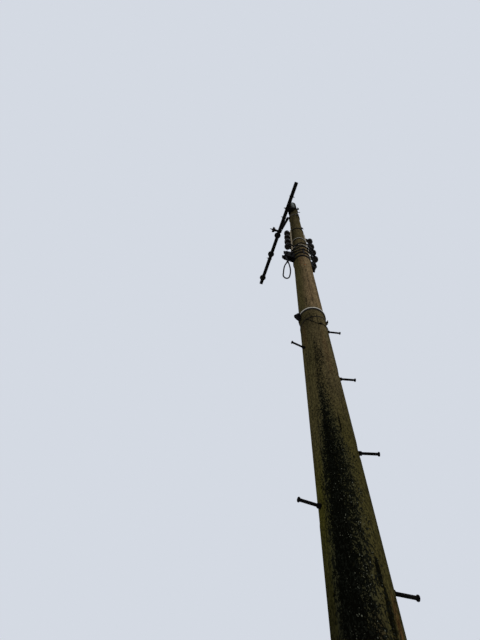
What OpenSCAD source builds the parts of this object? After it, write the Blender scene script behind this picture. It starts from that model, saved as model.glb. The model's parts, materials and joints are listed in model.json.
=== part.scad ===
// Tapered spun-concrete utility pole with an offset steel crossarm, insulator racks and step bolts.
// The origin is the centre of the foot at ground level, +Z is up, +Y runs along the long side
// of the crossarm and the racks stand on the -X and +X sides. All lengths are millimetres.

/* [Pole] */
// Height of the pole above the ground
pole_h = 12100; // [11600:100:13600]
// Outside diameter at the top
top_d = 195; // [175:5:225]
// Length over which the outside diameter grows by one millimetre towards the foot
taper_run = 75; // [65:1:100]
// Wall at the top
wall_top = 36; // [30:1:45]
// Wall where the bore ends above the foot
wall_foot = 48; // [40:1:60]
// Height of the closed foot below the bore
foot_plug = 400; // [100:50:800]
// Rise of the cap's dome
cap_rise = 22; // [10:1:40]
// Edge height of the cap
cap_edge = 14; // [6:1:25]
// Depth of the cap's spigot in the bore
cap_spigot = 40; // [20:5:80]

/* [Step bolts] */
// Rise from one step bolt to the next on the same side
step_rise = 880; // [860:5:900]
// Height of the lowest step bolt on the right side
right_first = 1817; // [1780:1:1850]
// Height of the lowest step bolt on the left side
left_first = 2218; // [2150:1:2300]
// Turn of the right line of step bolts from the X axis, in degrees
right_turn = -12; // [-16:1:-8]
// Turn of the left line of step bolts from the X axis, in degrees
left_turn = 184; // [180:1:190]
// Diameter of a step bolt's shank
step_d = 20; // [14:1:22]
// Reach of a step bolt from the pole's surface
step_reach = 143; // [120:1:180]
// Diameter of the head
step_head_d = 31; // [28:1:44]
// Thickness of the head
step_head_t = 13; // [8:1:20]
// Width across the corners of the nut at the root
step_nut_d = 30; // [26:1:40]
// Thickness of the nut at the root
step_nut_t = 15; // [8:1:24]
// Depth of a socket in the wall
socket_depth = 28; // [20:1:32]

/* [Crossarm] */
// Distance from the top of the pole down to the crossarm
arm_drop = 550; // [400:10:650]
// Width of the square tube
arm_w = 82; // [70:1:90]
// Wall of the square tube
arm_wall = 3.2; // [2.4:0.2:5]
// Corner radius of the tube
arm_corner = 7; // [6:0.5:10]
// Length on the short side of the pole
arm_near = 650; // [500:10:800]
// Length on the long side of the pole
arm_far = 2070; // [2050:10:2400]
// Thickness of the saddle between tube and pole
saddle_t = 4; // [3:0.5:10]
// Width of the saddle
saddle_w = 110; // [90:5:130]
// Diameter of the bolt through pole and crossarm
main_bolt_d = 19; // [16:1:24]
// Diameter of the smaller bolts through the tube
arm_bolt_d = 16; // [12:1:18]
// Place of the bolt on the short side
near_bolt_y = 310; // [250:10:400]
// Place of the first bolt on the long side
first_bolt_y = 225; // [180:5:300]
// Place of the last bolt on the long side
last_bolt_y = 1340; // [1330:10:1500]
// Length of bolt that stands past a nut
bolt_tip = 26; // [10:1:40]

/* [Arm tie] */
// Distance from the top of the pole down to the tie's band
tie_drop = 1500; // [1300:10:1700]
// Place of the tie's bolt on the crossarm
tie_y = 590; // [500:10:620]
// Width of each leg of the tie's angle section
tie_w = 48; // [38:1:60]
// Thickness of the tie's legs
tie_t = 6; // [4:0.5:9]

/* [Pin insulators] */
// Places of the three pins on the long side
pin_1_y = 720; // [700:10:800]
pin_2_y = 1240; // [1150:10:1260]
pin_3_y = 1930; // [1700:10:1960]
// Diameter of a pin
pin_d = 20; // [16:1:24]
// Height of the porcelain's foot above the tube
pin_rise = 45; // [35:1:70]
// Radius of the porcelain's lower skirt
skirt_r = 80; // [70:1:90]
// Radius of the porcelain's upper shed
shed_r = 60; // [54:1:68]
// Radius of the porcelain's head
head_r = 38; // [34:1:42]
// Height of the porcelain
porcelain_h = 165; // [150:1:190]
// Diameter of the wire that the grooves take
wire_d = 18; // [10:1:22]

/* [Strain insulator] */
// Radius of the strain insulator's bell
strain_r = 68; // [60:1:80]
// Length of its porcelain
strain_l = 92; // [84:1:100]

/* [Racks] */
// Distance from the top of the pole down to the top rack band
rack_drop = 2780; // [2600:10:3000]
// Distance from the top rack band down to the first spool on the left rack
left_first_gap = 190; // [170:5:220]
// Pitch of the spools on the left rack
left_pitch = 293; // [270:1:300]
// Distance from the pole's surface to the spools of the left rack
left_reach = 98; // [95:1:110]
// Distance from the top rack band down to the first spool on the right rack
right_first_gap = 250; // [230:5:280]
// Pitch of the spools on the right rack
right_pitch = 357; // [340:1:360]
// Distance from the pole's surface to the spools of the right rack
right_reach = 128; // [110:1:140]
// Diameter of a spool
spool_d = 104; // [90:1:110]
// Height of a spool
spool_h = 96; // [85:1:105]
// Diameter of a spool's pin
spool_pin_d = 16; // [12:1:18]
// Width of a rack's channel
channel_w = 42; // [36:1:50]
// Depth of a rack's channel
channel_depth = 24; // [18:1:28]
// Wall of a rack's channel and of its arms
channel_t = 5; // [4:0.5:6]

/* [Bands] */
// Height of the service band
service_h = 70; // [44:1:80]
// Distance from the top of the pole down to the service band
service_drop = 720; // [690:5:800]
// Distance from the top rack band down to the middle one
middle_gap = 740; // [700:5:760]
// Distance from the top rack band down to the bottom one
bottom_gap = 1180; // [1150:5:1200]
// Distance from the bottom rack band down to the left cable clamp
left_clamp_gap = 420; // [400:5:480]
// Distance from the bottom rack band down to the right cable clamp
right_clamp_gap = 590; // [580:5:640]
// Height of the messenger band above the ground
messenger_z = 5590; // [5500:10:5800]
// Distance from the messenger band down to the strap under it
messenger_gap = 184; // [170:1:230]
// Tilt of that strap, in degrees
strap_tilt = 18; // [10:1:20]
// Distance that a pressed band stands off the pole
band_depth = 12; // [8:1:15]
// Sheet thickness of the bands
band_t = 3; // [2:0.5:4]
// Height of a wide band
band_h = 44; // [36:1:50]
// Height of a narrow band
strap_h = 34; // [26:1:38]

/* [Cables] */
// Diameter of the jumper cables
jumper_d = 20; // [12:1:22]
// Diameter of the slack loop's cable
loop_d = 20; // [12:1:24]

/* [Hidden] */
$fn = 72;
fit_gap = 0.3;
cut = 1;
taper_angle = atan(1 / (2 * taper_run));
foot_d = top_d + pole_h / taper_run;

arm_z = pole_h - arm_drop;
arm_x = -(pole_r(arm_z) + saddle_t + arm_w / 2);
arm_out_x = arm_x - arm_w / 2;
arm_in_x = arm_x + arm_w / 2;
tie_z = pole_h - tie_drop;
service_z = pole_h - service_drop;
pin_places = [pin_1_y, pin_2_y, pin_3_y];
main_hole_d = main_bolt_d + 3;
arm_hole_d = arm_bolt_d + 1.5;
pin_hole_d = pin_d + 1;
tie_gap = 4 * fit_gap;

washer_w = 52;
washer_t = 5;
main_nut_d = 34;
main_nut_t = 15;
arm_nut_d = 27;
arm_nut_t = 12;

top_band_z = pole_h - rack_drop;
middle_band_z = top_band_z - middle_gap;
bottom_band_z = top_band_z - bottom_gap;
left_zs = [for (i = [0:3]) top_band_z - left_first_gap - i * left_pitch];
right_zs = [for (i = [0:3]) top_band_z - right_first_gap - i * right_pitch];
rack_top_z = top_band_z + 70;
rack_tail = 175;
ring_off = fit_gap + band_depth;
channel_back = ring_off + fit_gap;
arm_plate_w = 38;
spool_play = 1;

left_clamp_z = bottom_band_z - left_clamp_gap;
right_clamp_z = bottom_band_z - right_clamp_gap;
clamp_h = 250;
clamp_w = 84;
clamp_boss_l = 10;
clamp_top_x = 58;

step_right = [for (i = [0:4]) right_first + i * step_rise];
step_left = [for (i = [0, 1, 3]) left_first + i * step_rise];
right_swerve = [2, 6, -6, -3, 0];
left_swerve = [-1, -2, 4];
empty_right = [right_first + 5 * step_rise];
empty_left = [for (i = [2, 4]) left_first + i * step_rise];
socket_d = step_d + 0.4;
clip_turn = -167;
clip_zs = [2604, 3207];
clip_hole_d = 20;
clip_hole_depth = 30;

steel = "#6f7377";
dark_steel = "#34363a";
porcelain = "#3a2a22";
concrete = "#5d5642";
black_cable = "#1c1c1e";

// Radius of the pole's surface at height z
function pole_r(z) = (foot_d - z / taper_run) / 2;

// Point at height z, a distance off the pole's surface, in the direction turn
function off_pole(turn, z, off) =
    [(pole_r(z) + off) * cos(turn), (pole_r(z) + off) * sin(turn), z];

// Places children at the pole's surface, level, with local +X pointing away from the pole
module at_pole(z, turn)
    rotate([0, 0, turn]) translate([pole_r(z), 0, z]) children();

// Places children at the pole's surface with local Z along the tapering surface
module on_pole(z, turn)
    at_pole(z, turn) rotate([0, -taper_angle, 0]) children();

// Cone that follows the pole's surface, a distance off it, from height z1 to z2
module pole_cone(z1, z2, off)
    translate([0, 0, z1]) cylinder(h = z2 - z1, r1 = pole_r(z1) + off, r2 = pole_r(z2) + off);

// Pressed band round the pole, centred at height z: a channel section whose flanges reach the pole
module pole_ring(z, h) {
    low = z - h / 2;
    high = z + h / 2;
    rotate_extrude() polygon([
        [pole_r(low) + fit_gap, low], [pole_r(low) + ring_off, low],
        [pole_r(high) + ring_off, high], [pole_r(high) + fit_gap, high],
        [pole_r(high) + fit_gap, high - band_t], [pole_r(high) + ring_off - band_t, high - band_t],
        [pole_r(low) + ring_off - band_t, low + band_t], [pole_r(low) + fit_gap, low + band_t]
    ]);
}

// Cylinder along +X
module rod_x(d, l, sides = $fn)
    rotate([0, 90, 0]) cylinder(d = d, h = l, $fn = sides);

// Square with round corners
module round_square(w, h, r) {
    square([w - 2 * r, h], center = true);
    square([w, h - 2 * r], center = true);
    for (x = [-1, 1], y = [-1, 1])
        translate([x * (w / 2 - r), y * (h / 2 - r)]) circle(r, $fn = 32);
}

// Two ears and their bolt, which close a band at a lug; local +X points away from the pole
module band_lug(h, t, reach) {
    ear_gap = 12;
    bolt_l = 70;
    bolt_x = ring_off + reach * 0.55;
    nut_l = 9;
    for (side = [-1, 1])
        translate([ring_off - band_t, side * (ear_gap + t) / 2, 0]) rotate([90, 0, 0])
            linear_extrude(t, center = true)
                polygon([
                    [0, -h / 2], [0, h / 2], [reach - 6, h / 2],
                    [reach, h / 4], [reach, -h / 4], [reach - 6, -h / 2]
                ]);
    translate([bolt_x, 0, 0]) rotate([90, 0, 0]) cylinder(d = 12, h = bolt_l, center = true);
    for (side = [-1, 1])
        translate([bolt_x, side * (ear_gap / 2 + t + nut_l / 2), 0]) rotate([90, 0, 0])
            cylinder(d = 22, h = nut_l, center = true, $fn = 6);
}

// Smooth tube of diameter d along a list of points
function tube_dir(p, i) =
    let (a = p[max(i - 1, 0)], b = p[min(i + 1, len(p) - 1)]) (b - a) / norm(b - a);
function tube_side(t, up) = let (s = cross(t, up)) s / norm(s);
function curve_point(a, b, c, d, t) =
    0.5 * (2 * b + (c - a) * t + (2 * a - 5 * b + 4 * c - d) * t * t + (3 * b - a - 3 * c + d) * t * t * t);
function smooth_path(p, n) = [
    for (i = [0:len(p) - 2], k = [0:n - 1])
        curve_point(p[max(i - 1, 0)], p[i], p[i + 1], p[min(i + 2, len(p) - 1)], k / n),
    p[len(p) - 1]
];
function turn_frame(p, sides, i = 0, side = undef, out = []) =
    i == len(p) ? out :
    let (
        t = tube_dir(p, i),
        raw = is_undef(side) ? tube_side(t, abs(t.z) > 0.9 ? [0, 1, 0] : [0, 0, 1]) : side - (side * t) * t,
        s = raw / norm(raw)
    )
    turn_frame(p, sides, i + 1, s, concat(out, [[s, cross(t, s)]]));

module tube(points, d, sides) {
    frames = turn_frame(points, sides);
    n = len(points);
    rings = [
        for (i = [0:n - 1], k = [0:sides - 1])
            points[i] + d / 2 * (cos(360 * k / sides) * frames[i][0] + sin(360 * k / sides) * frames[i][1])
    ];
    walls = [
        for (i = [0:n - 2], k = [0:sides - 1])
            let (a = i * sides + k, b = i * sides + (k + 1) % sides) [a, b, b + sides, a + sides]
    ];
    polyhedron(
        points = rings,
        faces = concat(
            walls,
            [[for (k = [sides - 1:-1:0]) k]],
            [[for (k = [0:sides - 1]) (n - 1) * sides + k]]
        ),
        convexity = 6
    );
}

module pole_shaft()
    color(concrete)
    difference() {
        rotate_extrude()
            polygon([
                [0, 0], [foot_d / 2, 0], [top_d / 2, pole_h], [top_d / 2 - wall_top, pole_h],
                [pole_r(foot_plug) - wall_foot, foot_plug], [0, foot_plug]
            ]);
        for (i = [0:4]) step_socket(step_right[i], right_turn + right_swerve[i]);
        for (i = [0:2]) step_socket(step_left[i], left_turn + left_swerve[i]);
        for (z = empty_right) step_socket(z, right_turn);
        for (z = empty_left) step_socket(z, left_turn);
        translate([0, 0, arm_z]) rotate([0, 90, 0]) cylinder(d = main_hole_d, h = foot_d, center = true);
        for (z = clip_zs)
            at_pole(z, clip_turn) translate([-clip_hole_depth, 0, 0])
                rod_x(clip_hole_d, clip_hole_depth + cut);
    }

module step_socket(z, turn)
    at_pole(z, turn) translate([-socket_depth, 0, 0]) rod_x(socket_d, socket_depth + cut);

module pole_cap() {
    dome_r = (top_d * top_d / 4 + cap_rise * cap_rise) / (2 * cap_rise);
    color(steel)
    translate([0, 0, pole_h]) {
        cylinder(d = top_d, h = cap_edge);
        translate([0, 0, cap_edge]) intersection() {
            translate([0, 0, cap_rise - dome_r]) sphere(dome_r);
            cylinder(d = top_d, h = cap_rise + cut);
        }
        translate([0, 0, -cap_spigot]) cylinder(d = top_d - 2 * wall_top - 2 * fit_gap, h = cap_spigot);
    }
}

// Step bolt with its nut, level, pointing along turn
module step_bolt(z, turn) {
    under_l = step_head_t * 0.3;
    crown_l = step_head_t * 0.3;
    rim_l = step_head_t - under_l - crown_l;
    color(dark_steel)
    at_pole(z, turn) {
        translate([fit_gap - socket_depth, 0, 0]) rod_x(step_d, socket_depth + step_reach - step_head_t);
        translate([fit_gap, 0, 0]) rod_x(step_nut_d, step_nut_t, 6);
        translate([step_reach - step_head_t, 0, 0]) rotate([0, 90, 0]) {
            cylinder(d1 = step_head_d - 6, d2 = step_head_d, h = under_l);
            translate([0, 0, under_l]) cylinder(d = step_head_d, h = rim_l);
            translate([0, 0, under_l + rim_l]) cylinder(d1 = step_head_d, d2 = step_head_d - 9, h = crown_l);
        }
    }
}

module crossarm() {
    arm_l = arm_near + arm_far;
    color(dark_steel)
    difference() {
        translate([arm_x, -arm_near, arm_z]) rotate([-90, 0, 0]) difference() {
            linear_extrude(arm_l) round_square(arm_w, arm_w, arm_corner);
            translate([0, 0, arm_wall])
                linear_extrude(arm_l - 2 * arm_wall)
                    round_square(arm_w - 2 * arm_wall, arm_w - 2 * arm_wall, arm_corner - arm_wall);
        }
        translate([arm_x - arm_w, 0, arm_z]) rod_x(main_bolt_d + 1, 2 * arm_w);
        for (y = [-near_bolt_y, first_bolt_y, tie_y, last_bolt_y])
            translate([arm_x - arm_w, y, arm_z]) rod_x(arm_hole_d, 2 * arm_w);
        for (y = pin_places)
            translate([arm_x, y, arm_z]) cylinder(d = pin_hole_d, h = 2 * arm_w, center = true);
    }
}

// Saddle that is flat against the tube and hollowed to the pole's round
module crossarm_saddle() {
    radius = pole_r(arm_z);
    hollow = radius - sqrt(radius * radius - saddle_w * saddle_w / 4);
    color(dark_steel)
    difference() {
        translate([arm_in_x, -saddle_w / 2, arm_z - arm_w / 2]) cube([saddle_t + hollow, saddle_w, arm_w]);
        pole_cone(arm_z - arm_w, arm_z + arm_w, fit_gap);
        translate([0, 0, arm_z]) rotate([0, -90, 0]) cylinder(d = main_hole_d, h = foot_d);
    }
}

module crossarm_bolts()
    color(dark_steel) {
        main_bolt();
        arm_bolt(-near_bolt_y, 1);
        arm_bolt(first_bolt_y, -1);
        arm_bolt(last_bolt_y, -1);
        tie_bolt();
    }

// Long bolt through the crossarm and the pole, with a square washer and a nut at each end
module main_bolt() {
    left_x = arm_out_x;
    right_x = pole_r(arm_z) + fit_gap;
    end_l = washer_t + main_nut_t;
    bolt_l = right_x - left_x + 2 * (end_l + bolt_tip);
    translate([left_x - end_l - bolt_tip, 0, arm_z]) rod_x(main_bolt_d, bolt_l);
    translate([left_x - washer_t, -washer_w / 2, arm_z - washer_w / 2]) cube([washer_t, washer_w, washer_w]);
    translate([left_x - end_l, 0, arm_z]) rod_x(main_nut_d, main_nut_t, 6);
    translate([right_x, -washer_w / 2, arm_z - washer_w / 2]) cube([washer_t, washer_w, washer_w]);
    translate([right_x + washer_t, 0, arm_z]) rod_x(main_nut_d, main_nut_t, 6);
}

// Bolt through the tube; its nut and tip are on the side towards +X or -X
module arm_bolt(y, side)
    translate([arm_x, y, arm_z]) rotate([0, 0, side > 0 ? 0 : 180]) {
        translate([-arm_w / 2 - arm_nut_t, 0, 0]) rod_x(arm_nut_d, arm_nut_t, 6);
        translate([-arm_w / 2 - cut, 0, 0]) rod_x(arm_bolt_d, arm_w + cut + arm_nut_t + bolt_tip);
        translate([arm_w / 2, 0, 0]) rod_x(arm_nut_d, arm_nut_t, 6);
    }

// Bolt that holds the tie on the inner face and the strain clevis on the outer face
module tie_bolt() {
    inner = arm_w / 2 + tie_t + tie_gap + 3 * fit_gap;
    translate([arm_x, tie_y, arm_z]) {
        translate([-arm_w / 2 - strain_foot_t - cut, 0, 0])
            rod_x(arm_bolt_d, arm_w / 2 + strain_foot_t + cut + inner + arm_nut_t);
        translate([inner, 0, 0]) rod_x(arm_nut_d, arm_nut_t, 6);
        translate([-arm_w / 2 - strain_foot_t - arm_nut_t, 0, 0]) rod_x(arm_nut_d, arm_nut_t, 6);
    }
}

// Angle bar from the band on the pole up to the inner face of the crossarm; its outer leg is cut
// back at both ends
module arm_tie() {
    low = [-(pole_r(tie_z) + ring_off + 2 * fit_gap + tie_t / 2), 0, tie_z];
    high = [arm_in_x + tie_gap + tie_t / 2, tie_y, arm_z];
    way = high - low;
    len_yz = norm([way.y, way.z]);
    leg_start = tie_w;
    leg_end = norm(way) - arm_w - tie_w;
    color(dark_steel)
    translate(low) rotate([-atan2(way.y, way.z), 0, 0]) rotate([0, atan2(way.x, len_yz), 0]) {
        difference() {
            translate([-tie_t / 2, 0, 0]) rotate([0, 90, 0]) linear_extrude(tie_t) {
                translate([-norm(way), -tie_w / 2]) square([norm(way), tie_w]);
                circle(d = tie_w);
                translate([-norm(way), 0]) circle(d = tie_w);
            }
            for (z = [0, norm(way)])
                translate([-2 * tie_t, 0, z]) rod_x(arm_hole_d, 4 * tie_t);
        }
        translate([-tie_w + tie_t / 2, -tie_w / 2, leg_start])
            cube([tie_w - tie_t / 2, tie_t, leg_end - leg_start]);
    }
}

// Band with a stud for the tie and a round clamping boss
module arm_tie_band() {
    boss_turn = -72;
    boss_d = 72;
    boss_t = 9;
    stud_l = band_t + tie_t + 2 * fit_gap + arm_nut_t + bolt_tip / 2;
    color(dark_steel) {
        pole_ring(tie_z, band_h);
        at_pole(tie_z, 180) {
            translate([ring_off - band_t / 2, 0, 0]) rod_x(arm_bolt_d, stud_l);
            translate([ring_off + tie_t + 4 * fit_gap, 0, 0]) rod_x(arm_nut_d, arm_nut_t, 6);
        }
        at_pole(tie_z, boss_turn) {
            translate([ring_off - band_t / 2, 0, 0]) rod_x(boss_d, boss_t);
            translate([ring_off + boss_t - band_t, 0, 0]) rod_x(arm_nut_d, arm_nut_t, 6);
        }
    }
}

// Pins that stand on the crossarm, each with a shoulder above and a nut below the tube
module insulator_pins() {
    thread_l = 70;
    color(dark_steel)
    for (y = pin_places)
        translate([arm_x, y, arm_z]) {
            translate([0, 0, -arm_w / 2 - washer_t - arm_nut_t - bolt_tip])
                cylinder(d = pin_d, h = arm_w + washer_t + arm_nut_t + bolt_tip + pin_rise + thread_l);
            translate([0, 0, arm_w / 2]) cylinder(d = pin_d + 24, h = 8);
            translate([0, 0, arm_w / 2 + 8]) cylinder(d1 = pin_d + 14, d2 = pin_d, h = pin_rise - 20);
            translate([0, 0, -arm_w / 2 - washer_t]) cylinder(d = pin_d + 24, h = washer_t);
            translate([0, 0, -arm_w / 2 - washer_t - arm_nut_t])
                cylinder(d = pin_d + 14, h = arm_nut_t, $fn = 6);
        }
}

// Porcelain of a pin insulator: two sheds, a neck for the tie wire and a groove across the head
module pin_insulator(y) {
    bore_r = pin_d / 2 + fit_gap;
    bore_l = 78;
    top = porcelain_h;
    color(porcelain)
    translate([arm_x, y, arm_z + arm_w / 2 + pin_rise])
        difference() {
            rotate_extrude() polygon([
                [bore_r, 0], [bore_r + 10, 0], [bore_r + 13, 30], [skirt_r - 26, 36], [skirt_r - 14, 8],
                [skirt_r - 9, 3], [skirt_r - 4, 2], [skirt_r, 7], [skirt_r - 1, 16], [skirt_r - 8, 34],
                [skirt_r - 20, 48], [head_r + 6, 56], [head_r + 2, 64], [shed_r - 10, 62], [shed_r - 5, 58],
                [shed_r, 62], [shed_r - 1, 72], [shed_r - 8, 88], [head_r + 3, 98], [head_r - 6, top - 59],
                [head_r - 10, top - 52], [head_r - 10, top - 45], [head_r - 6, top - 38],
                [head_r - 1, top - 33], [head_r, top - 27], [head_r, top - 10], [head_r - 4, top - 3],
                [head_r - 11, top], [0, top], [0, bore_l], [bore_r, bore_l]
            ]);
            translate([0, 0, top + wire_d * 0.1]) rotate([0, 90, 0])
                cylinder(d = wire_d + 4, h = 3 * head_r, center = true);
        }
}

strain_foot_t = 8;
strain_yoke_l = 22;
strain_cap_l = 20;

// Yoke that carries the strain insulator from the crossarm's outer face, and the eye at its far end
module strain_fittings() {
    yoke_w = 40;
    yoke_h = 66;
    yoke_t = 6;
    inner_cap_d = 62;
    outer_cap_d = 44;
    eye_l = 38;
    eye_d = 18;
    ins_x = -strain_foot_t - strain_yoke_l;
    color(dark_steel)
    translate([arm_out_x, tie_y, arm_z]) {
        difference() {
            union() {
                translate([-strain_foot_t, -yoke_w / 2, -yoke_h / 2]) cube([strain_foot_t, yoke_w, yoke_h]);
                for (side = [-1, 1])
                    translate([ins_x, -yoke_w / 2, side * (yoke_h - yoke_t) / 2 - yoke_t / 2])
                        cube([strain_yoke_l + cut, yoke_w, yoke_t]);
                translate([ins_x, -yoke_w / 2, -yoke_h / 2]) cube([yoke_t, yoke_w, yoke_h]);
            }
            translate([-strain_foot_t - cut, 0, 0]) rod_x(arm_hole_d, strain_foot_t + 2 * cut);
        }
        translate([ins_x, 0, 0]) rotate([0, -90, 0])
            cylinder(d1 = outer_cap_d, d2 = inner_cap_d, h = strain_cap_l);
        translate([ins_x - strain_l - strain_cap_l, 0, 0]) difference() {
            union() {
                rotate([0, -90, 0]) cylinder(d1 = outer_cap_d - 14, d2 = outer_cap_d, h = strain_cap_l);
                translate([-strain_cap_l - eye_l, -6, -16]) cube([eye_l + cut, 12, 32]);
            }
            translate([-strain_cap_l - eye_l / 2, 0, 0]) rotate([90, 0, 0])
                cylinder(d = eye_d, h = outer_cap_d, center = true);
        }
    }
}

// Porcelain of the strain insulator: a bell that opens away from the crossarm, with two ribs inside
module strain_insulator() {
    left_x = arm_out_x - strain_foot_t - strain_yoke_l - strain_cap_l - strain_l;
    neck_r = 31;
    pin_r = 15;
    color(porcelain)
    translate([left_x, tie_y, arm_z]) rotate([0, 90, 0]) rotate_extrude() polygon([
        [0, 0], [pin_r, 0], [pin_r + 3, 14], [strain_r - 39, 17], [strain_r - 35, 6], [strain_r - 29, 6],
        [strain_r - 25, 19], [strain_r - 15, 21], [strain_r - 11, 7], [strain_r - 4, 4], [strain_r, 12],
        [strain_r - 1, 30], [strain_r - 7, 50], [neck_r + 14, 66], [neck_r, 76],
        [neck_r, strain_l], [0, strain_l]
    ]);
}

// Band with an eye for a service wire
module service_band() {
    eye_turn = -15;
    lug_turn = -52;
    eye_d = 22;
    eye_w = 44;
    eye_x = ring_off + 34;
    eye_t = 8;
    color(dark_steel) {
        pole_ring(service_z, service_h);
        at_pole(service_z, lug_turn) band_lug(service_h, 6, 46);
        at_pole(service_z, eye_turn) rotate([90, 0, 0]) linear_extrude(eye_t, center = true) difference() {
            union() {
                translate([ring_off - band_t, -eye_w / 2]) square([eye_x - ring_off + band_t, eye_w]);
                translate([eye_x, 0]) circle(d = eye_w);
            }
            translate([eye_x, 0]) circle(d = eye_d);
        }
    }
}

// Flat arm of a rack that holds one end of a spool's pin; local +X points away from the pole
module rack_arm(reach)
    linear_extrude(channel_t) difference() {
        union() {
            translate([channel_back, -arm_plate_w / 2]) square([reach - channel_back, arm_plate_w]);
            translate([reach, 0]) circle(d = arm_plate_w);
        }
        translate([reach, 0]) circle(d = spool_pin_d + 1);
    }

// Channel with a pair of arms at each spool height
module rack(zs, reach, turn) {
    tail_z = zs[3] - rack_tail;
    mid_z = (rack_top_z + tail_z) / 2;
    rack_l = rack_top_z - tail_z;
    color(steel)
    on_pole(mid_z, turn) {
        translate([0, 0, -rack_l / 2]) linear_extrude(rack_l) {
            translate([channel_back, -channel_w / 2]) square([channel_t, channel_w]);
            for (side = [-1, 1])
                translate([channel_back, side * (channel_w - channel_t) / 2 - channel_t / 2])
                    square([channel_depth, channel_t]);
        }
        for (z = zs, side = [-1, 1])
            translate([0, 0, z - mid_z + side * (spool_h / 2 + spool_play + channel_t / 2) - channel_t / 2])
                rack_arm(reach);
    }
}

// Places children at the middle of a spool of a rack
module at_spool(zs, i, reach, turn)
    on_pole((rack_top_z + zs[3] - rack_tail) / 2, turn)
        translate([reach, 0, zs[i] - (rack_top_z + zs[3] - rack_tail) / 2]) children();

// Grooved porcelain spool
module spool() {
    color(porcelain)
    rotate_extrude() difference() {
        polygon([
            [spool_pin_d / 2 + 0.5, -spool_h / 2], [spool_d / 2 - 12, -spool_h / 2],
            [spool_d / 2, -spool_h / 2 + 12], [spool_d / 2, spool_h / 2 - 12],
            [spool_d / 2 - 12, spool_h / 2], [spool_pin_d / 2 + 0.5, spool_h / 2]
        ]);
        translate([spool_d / 2 + 4, 0]) circle(spool_groove, $fn = 48);
    }
}

module left_spool(i) at_spool(left_zs, i, left_reach, 180) spool();
module right_spool(i) at_spool(right_zs, i, right_reach, 0) spool();

// Pins of all spools, each with a head above the upper arm
module rack_pins()
    color(dark_steel)
    for (i = [0:3]) {
        at_spool(left_zs, i, left_reach, 180) spool_pin();
        at_spool(right_zs, i, right_reach, 0) spool_pin();
    }

module spool_pin() {
    half = spool_h / 2 + spool_play + channel_t;
    translate([0, 0, -half - 14]) cylinder(d = spool_pin_d, h = 2 * half + 14);
    translate([0, 0, half]) cylinder(d = spool_pin_d + 12, h = 9, $fn = 6);
    translate([0, 0, -half - 12]) rotate([90, 0, 0]) cylinder(d = 5, h = spool_pin_d + 14, center = true);
}

module rack_band(z, lug_turn)
    color(steel) {
        pole_ring(z, strap_h);
        at_pole(z, lug_turn) band_lug(strap_h, 5, 40);
    }

// Clamp on a band: two cheeks with two grooved rollers on cross bolts, a grip at the top, a grip
// at the foot, which reaches out to foot_x, and a boss on the side towards -Y
module cable_clamp(z, turn, depth, foot_x) {
    cheek_t = 8;
    back_t = 12;
    top_out = clamp_top_x + 22;
    grip_h = 45;
    foot_l = 60;
    roller_d = 50;
    roller_x = depth * 0.72;
    roller_zs = [clamp_h * 0.18, -clamp_h * 0.14];
    bolt_d = 16;
    bolt_end = 22;
    boss_d = 32;
    color(dark_steel) {
        pole_ring(z, band_h);
        difference() {
            at_pole(z, turn) {
                translate([0, -clamp_w / 2, -clamp_h / 2]) cube([ring_off + back_t, clamp_w, clamp_h]);
                for (side = [-1, 1])
                    translate([0, side * (clamp_w - cheek_t) / 2, 0]) rotate([90, 0, 0])
                        linear_extrude(cheek_t, center = true) polygon([
                            [0, -clamp_h / 2], [0, clamp_h / 2], [top_out, clamp_h / 2],
                            [depth, clamp_h * 0.22], [depth, -clamp_h * 0.3], [foot_x, -clamp_h / 2]
                        ]);
                translate([clamp_top_x - 20, -clamp_w / 2, clamp_h / 2 - grip_h]) cube([40, clamp_w, grip_h]);
                translate([foot_x - foot_l - 5, -clamp_w / 2, -clamp_h / 2]) cube([foot_l, clamp_w, grip_h]);
            }
            pole_cone(z - clamp_h, z + clamp_h, ring_off - band_t / 2);
        }
        at_pole(z, turn) {
            for (k = roller_zs) translate([roller_x, 0, k]) {
                rotate([90, 0, 0]) rotate_extrude() polygon([
                    [0, -clamp_w / 2 + cheek_t], [roller_d / 2, -clamp_w / 2 + cheek_t],
                    [roller_d / 2, -clamp_w / 3 + cheek_t], [roller_d * 0.3, -8], [roller_d * 0.3, 8],
                    [roller_d / 2, clamp_w / 3 - cheek_t], [roller_d / 2, clamp_w / 2 - cheek_t],
                    [0, clamp_w / 2 - cheek_t]
                ]);
                rotate([90, 0, 0]) cylinder(d = bolt_d, h = clamp_w + 2 * bolt_end, center = true);
                for (side = [-1, 1])
                    translate([0, side * (clamp_w / 2 + 6), 0]) rotate([90, 0, 0])
                        cylinder(d = bolt_d * 1.8, h = 12, center = true, $fn = 6);
            }
            translate([clamp_top_x, 0, 0]) rotate([90, 0, turn > 90 ? 180 : 0])
                cylinder(d = boss_d, h = clamp_w / 2 + clamp_boss_l);
        }
    }
}

clamp_left_depth = 190;
clamp_right_depth = 96;
clamp_left_foot = 150;
clamp_right_foot = 84;
module left_cable_clamp() cable_clamp(left_clamp_z, 180, clamp_left_depth, clamp_left_foot);
module right_cable_clamp() cable_clamp(right_clamp_z, 0, clamp_right_depth, clamp_right_foot);

// Point beside the groove of a spool, turn degrees round it, for a cable that lies in the groove
function in_groove(x, z, turn) = [x + groove_wrap * cos(turn), groove_wrap * sin(turn), z];

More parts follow.
